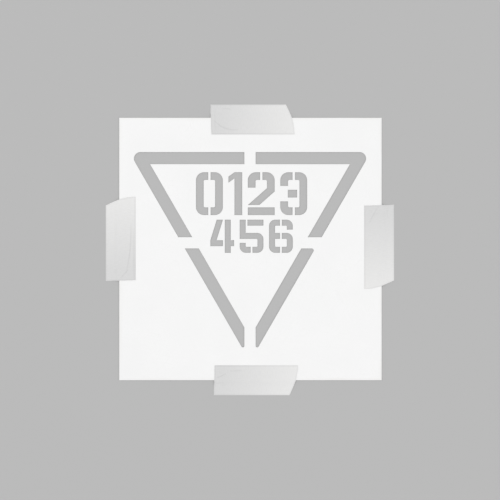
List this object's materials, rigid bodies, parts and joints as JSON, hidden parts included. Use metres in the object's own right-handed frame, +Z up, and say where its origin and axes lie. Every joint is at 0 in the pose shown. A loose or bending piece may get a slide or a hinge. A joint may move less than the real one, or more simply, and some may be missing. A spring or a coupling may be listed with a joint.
{
  "type": "road marking stencil",
  "caption": "Square plastic stencil sheet with a downward triangle and numerals cut through it, held to the ground by paper tape strips whose outer halves fold up about the sheet's edges.",
  "frame": {"origin": "on the ground, under the middle of the square sheet", "axes": "+Z up out of the sheet's face, +Y towards the top of the marking, +X to its right"},
  "size_m": [0.4619, 0.4656, 0.0018],
  "materials": {
    "sheet": "smooth satin white sheet plastic",
    "tape": "matt white crepe paper",
    "adhesive": "tacky pale coat"
  },
  "bodies": {
    "sheet": {"stencil_sheet": "sheet", "top_tape_backing": "tape", "top_tape_adhesive": "adhesive", "right_tape_backing": "tape", "right_tape_adhesive": "adhesive", "bottom_tape_backing": "tape", "bottom_tape_adhesive": "adhesive", "left_tape_backing": "tape", "left_tape_adhesive": "adhesive"},
    "top_flap": {"top_flap_backing": "tape", "top_flap_adhesive": "adhesive"},
    "right_flap": {"right_flap_backing": "tape", "right_flap_adhesive": "adhesive"},
    "bottom_flap": {"bottom_flap_backing": "tape", "bottom_flap_adhesive": "adhesive"},
    "left_flap": {"left_flap_backing": "tape", "left_flap_adhesive": "adhesive"}
  },
  "joints": [
    {"name": "top_flap_fold", "type": "hinge", "parent": "sheet", "child": "top_flap", "pos_m": [-0.0035, 0.21, 0.00176], "axis": [1, 0, 0], "range_deg": [0, 165]},
    {"name": "right_flap_fold", "type": "hinge", "parent": "sheet", "child": "right_flap", "pos_m": [0.21, 0.0101, 0.00176], "axis": [0, -1, 0], "range_deg": [0, 165]},
    {"name": "bottom_flap_fold", "type": "hinge", "parent": "sheet", "child": "bottom_flap", "pos_m": [0.002, -0.21, 0.00176], "axis": [-1, 0, 0], "range_deg": [0, 165]},
    {"name": "left_flap_fold", "type": "hinge", "parent": "sheet", "child": "left_flap", "pos_m": [-0.21, 0.0096, 0.00176], "axis": [0, 1, 0], "range_deg": [0, 165]}
  ]
}
